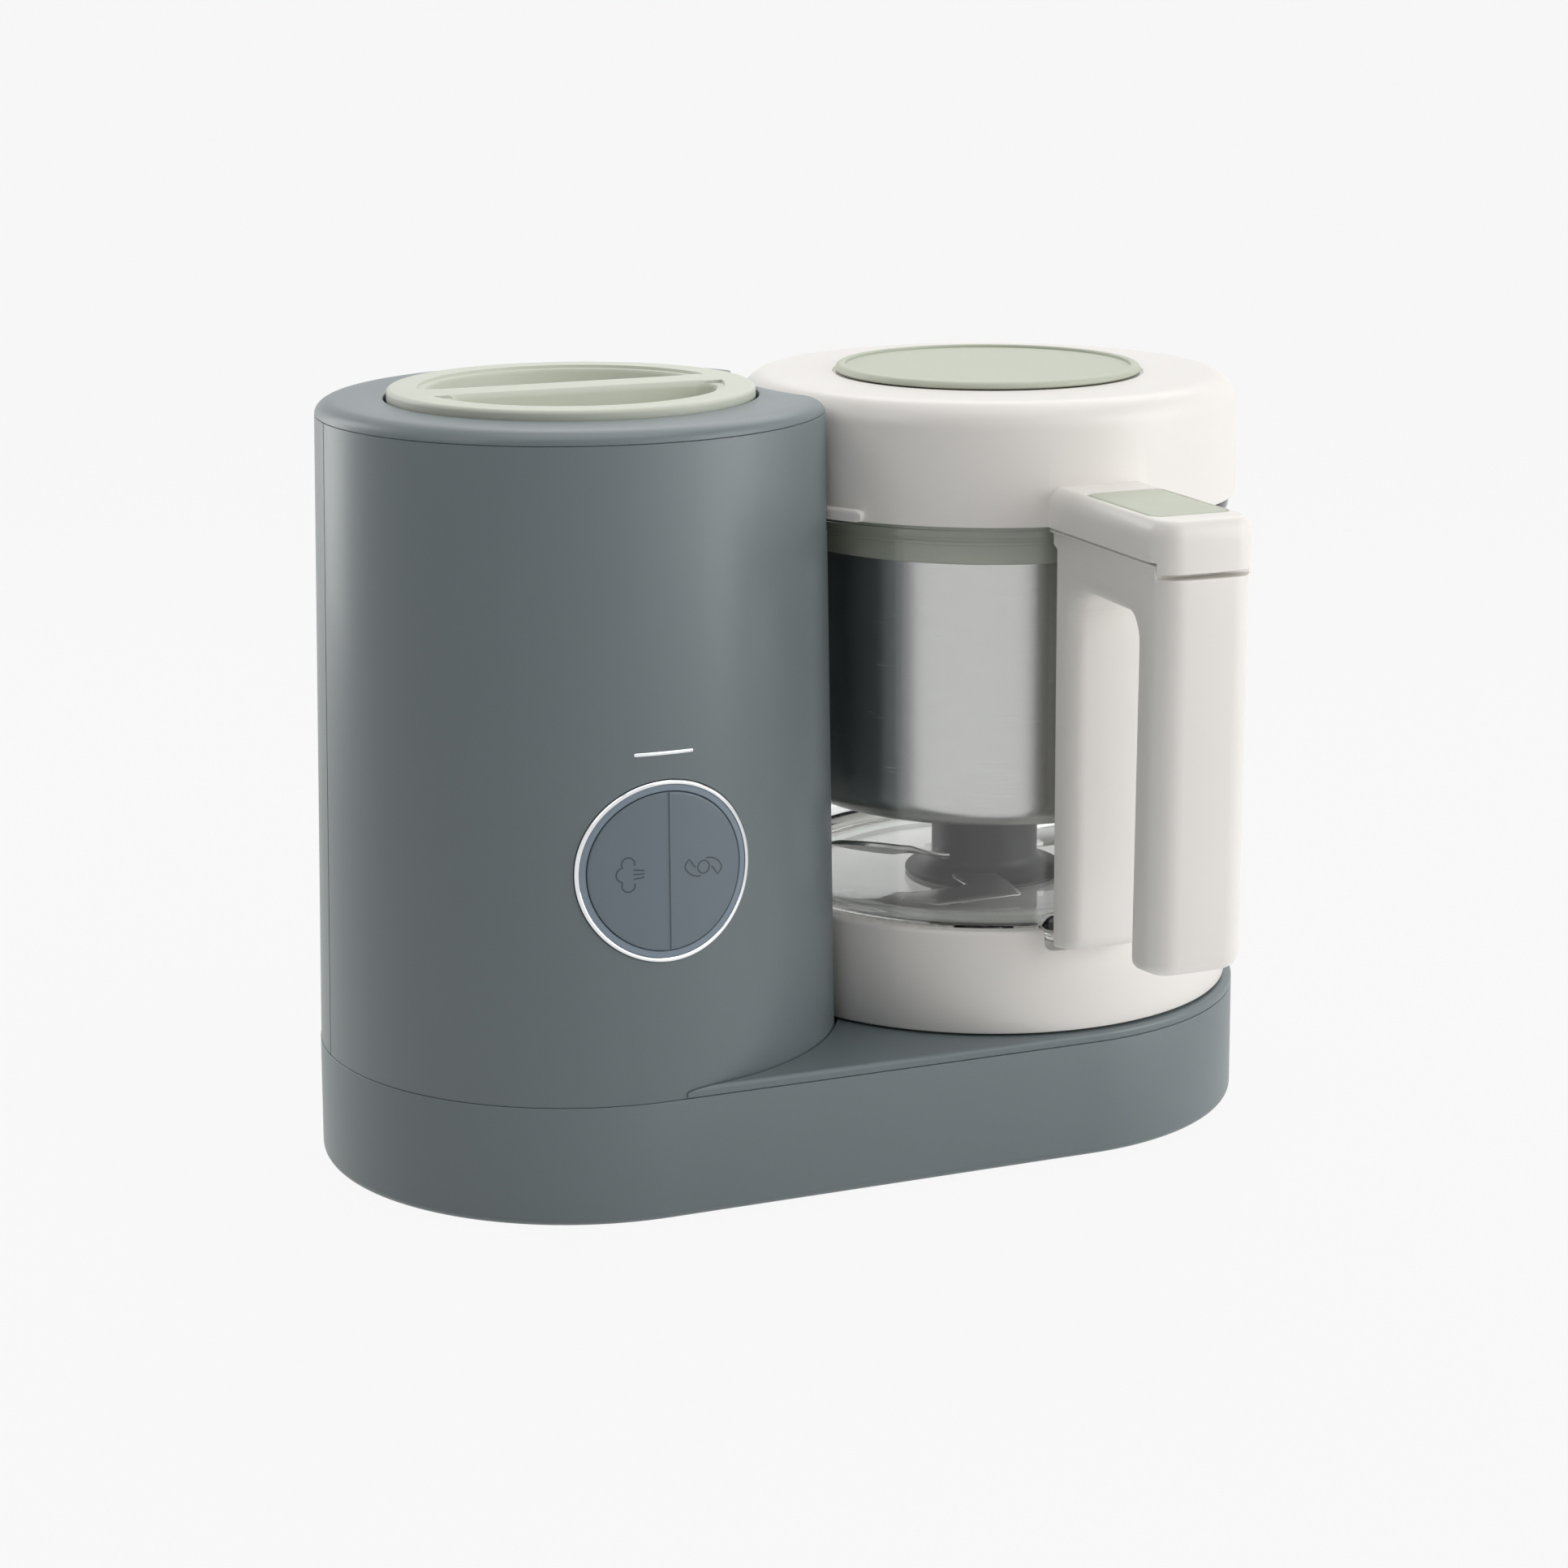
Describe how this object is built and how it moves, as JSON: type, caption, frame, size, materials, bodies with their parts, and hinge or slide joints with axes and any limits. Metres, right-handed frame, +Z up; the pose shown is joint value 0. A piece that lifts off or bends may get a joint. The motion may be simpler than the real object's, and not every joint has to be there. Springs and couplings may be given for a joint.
{
  "type": "baby food maker",
  "caption": "Countertop steamer and blender for baby food: a column with a water boiler and a front rocker control beside a glass bowl with a steaming basket, blade, lid and handle.",
  "frame": {"origin": "centre of the overall box, on the surface that the feet stand on", "axes": "+X from the boiler column to the bowl, -Y to the front where the control and the handle are, +Z up"},
  "size_m": [0.33, 0.2494, 0.2629],
  "materials": {
    "slate_plastic": "satin moulded",
    "cream_plastic": "satin moulded",
    "dial_plastic": "frosted translucent",
    "sage_plastic": "soft satin",
    "pale_sage_plastic": "soft satin",
    "dark_plastic": "moulded",
    "foot_rubber": "matte",
    "silicone": "matte",
    "steel": "brushed round the axis",
    "chrome": "polished",
    "aluminium": "cast",
    "ceramic": "matte",
    "motor_core": "lacquered windings",
    "light_pipe": "frosted translucent",
    "bowl_glass": "clear",
    "board": "solder mask"
  },
  "bodies": {
    "housing": {"base_pan": "slate_plastic", "feet": "foot_rubber", "base_screws": "steel", "base_deck": "slate_plastic", "front_cover": "slate_plastic", "rear_housing": "slate_plastic", "top_cover": "slate_plastic", "bowl_collar": "cream_plastic", "collar_screws": "steel", "seat_gasket": "silicone", "boiler_bracket": "steel", "boiler": "steel", "heating_plate": "aluminium", "heating_element": "steel", "thermostat": "aluminium", "thermal_fuse": "ceramic", "tank_neck": "dark_plastic", "steam_outlet": "dark_plastic", "steam_seal": "silicone", "chrome_ring": "chrome", "light_ring": "light_pipe", "trim_bar": "chrome", "rocker_frame": "dark_plastic", "microswitches": "dark_plastic", "control_board": "board", "power_board": "board", "buzzer": "dark_plastic", "cord_gland": "dark_plastic", "motor_housing": "aluminium", "motor_end_cap": "dark_plastic", "motor_bearings": "steel", "motor_mount": "steel", "motor_screws": "steel", "shaft_seal": "silicone"},
    "tank_cap": {"tank_cap": "pale_sage_plastic", "cap_gasket": "silicone"},
    "rocker": {"rocker": "dial_plastic"},
    "motor_rotor": {"rotor": "motor_core", "cooling_fan": "dark_plastic", "drive_coupling": "dark_plastic"},
    "bowl": {"bowl_glass": "bowl_glass", "bowl_bush": "steel", "bush_nut": "steel", "handle": "cream_plastic", "handle_screws": "steel", "basket": "steel", "basket_collar": "sage_plastic"},
    "blade": {"blade_hub": "dark_plastic", "blade": "steel", "driven_coupling": "dark_plastic"},
    "lid": {"lid_shell": "cream_plastic", "seal_carrier": "cream_plastic", "lid_seal": "silicone", "latch_spring": "steel"},
    "release_button": {"release_button": "sage_plastic", "latch_pawl": "steel"},
    "lid_plug": {"lid_plug": "sage_plastic", "plug_gasket": "silicone"}
  },
  "joints": [
    {"name": "tank_cap_turn", "type": "hinge", "parent": "housing", "child": "tank_cap", "pos_m": [-0.0767, 0.03635, 0.25], "axis": [0, 0, 1], "range_deg": [0, 45]},
    {"name": "rocker_tilt", "type": "hinge", "parent": "housing", "child": "rocker", "pos_m": [-0.0767, -0.04167, 0.118], "axis": [0, 0, 1], "range_deg": [-2.5, 2.5], "stiffness_Nm_per_rad": 1},
    {"name": "motor_spin", "type": "hinge", "parent": "housing", "child": "motor_rotor", "pos_m": [0.0767, 0.03635, 0.05], "axis": [0, 0, 1], "continuous": true},
    {"name": "bowl_lift", "type": "slide", "parent": "housing", "child": "bowl", "axis": [0, 0, 1], "range_m": [0, 0.11]},
    {"name": "blade_spin", "type": "hinge", "parent": "bowl", "child": "blade", "pos_m": [0.0767, 0.03635, 0.09], "axis": [0, 0, 1], "continuous": true},
    {"name": "lid_turn", "type": "hinge", "parent": "bowl", "child": "lid", "pos_m": [0.0767, 0.03635, 0.24], "axis": [0, 0, 1], "range_deg": [0, 35]},
    {"name": "release_press", "type": "slide", "parent": "lid", "child": "release_button", "axis": [0, 0, -1], "range_m": [0, 0.002], "stiffness_N_per_m": 600, "deforming": ["latch_spring"]},
    {"name": "lid_plug_lift", "type": "slide", "parent": "lid", "child": "lid_plug", "axis": [0, 0, 1], "range_m": [0, 0.02]}
  ],
  "couplings": [
    {"joint": "blade_spin", "follows": "motor_spin", "ratio": 1}
  ]
}
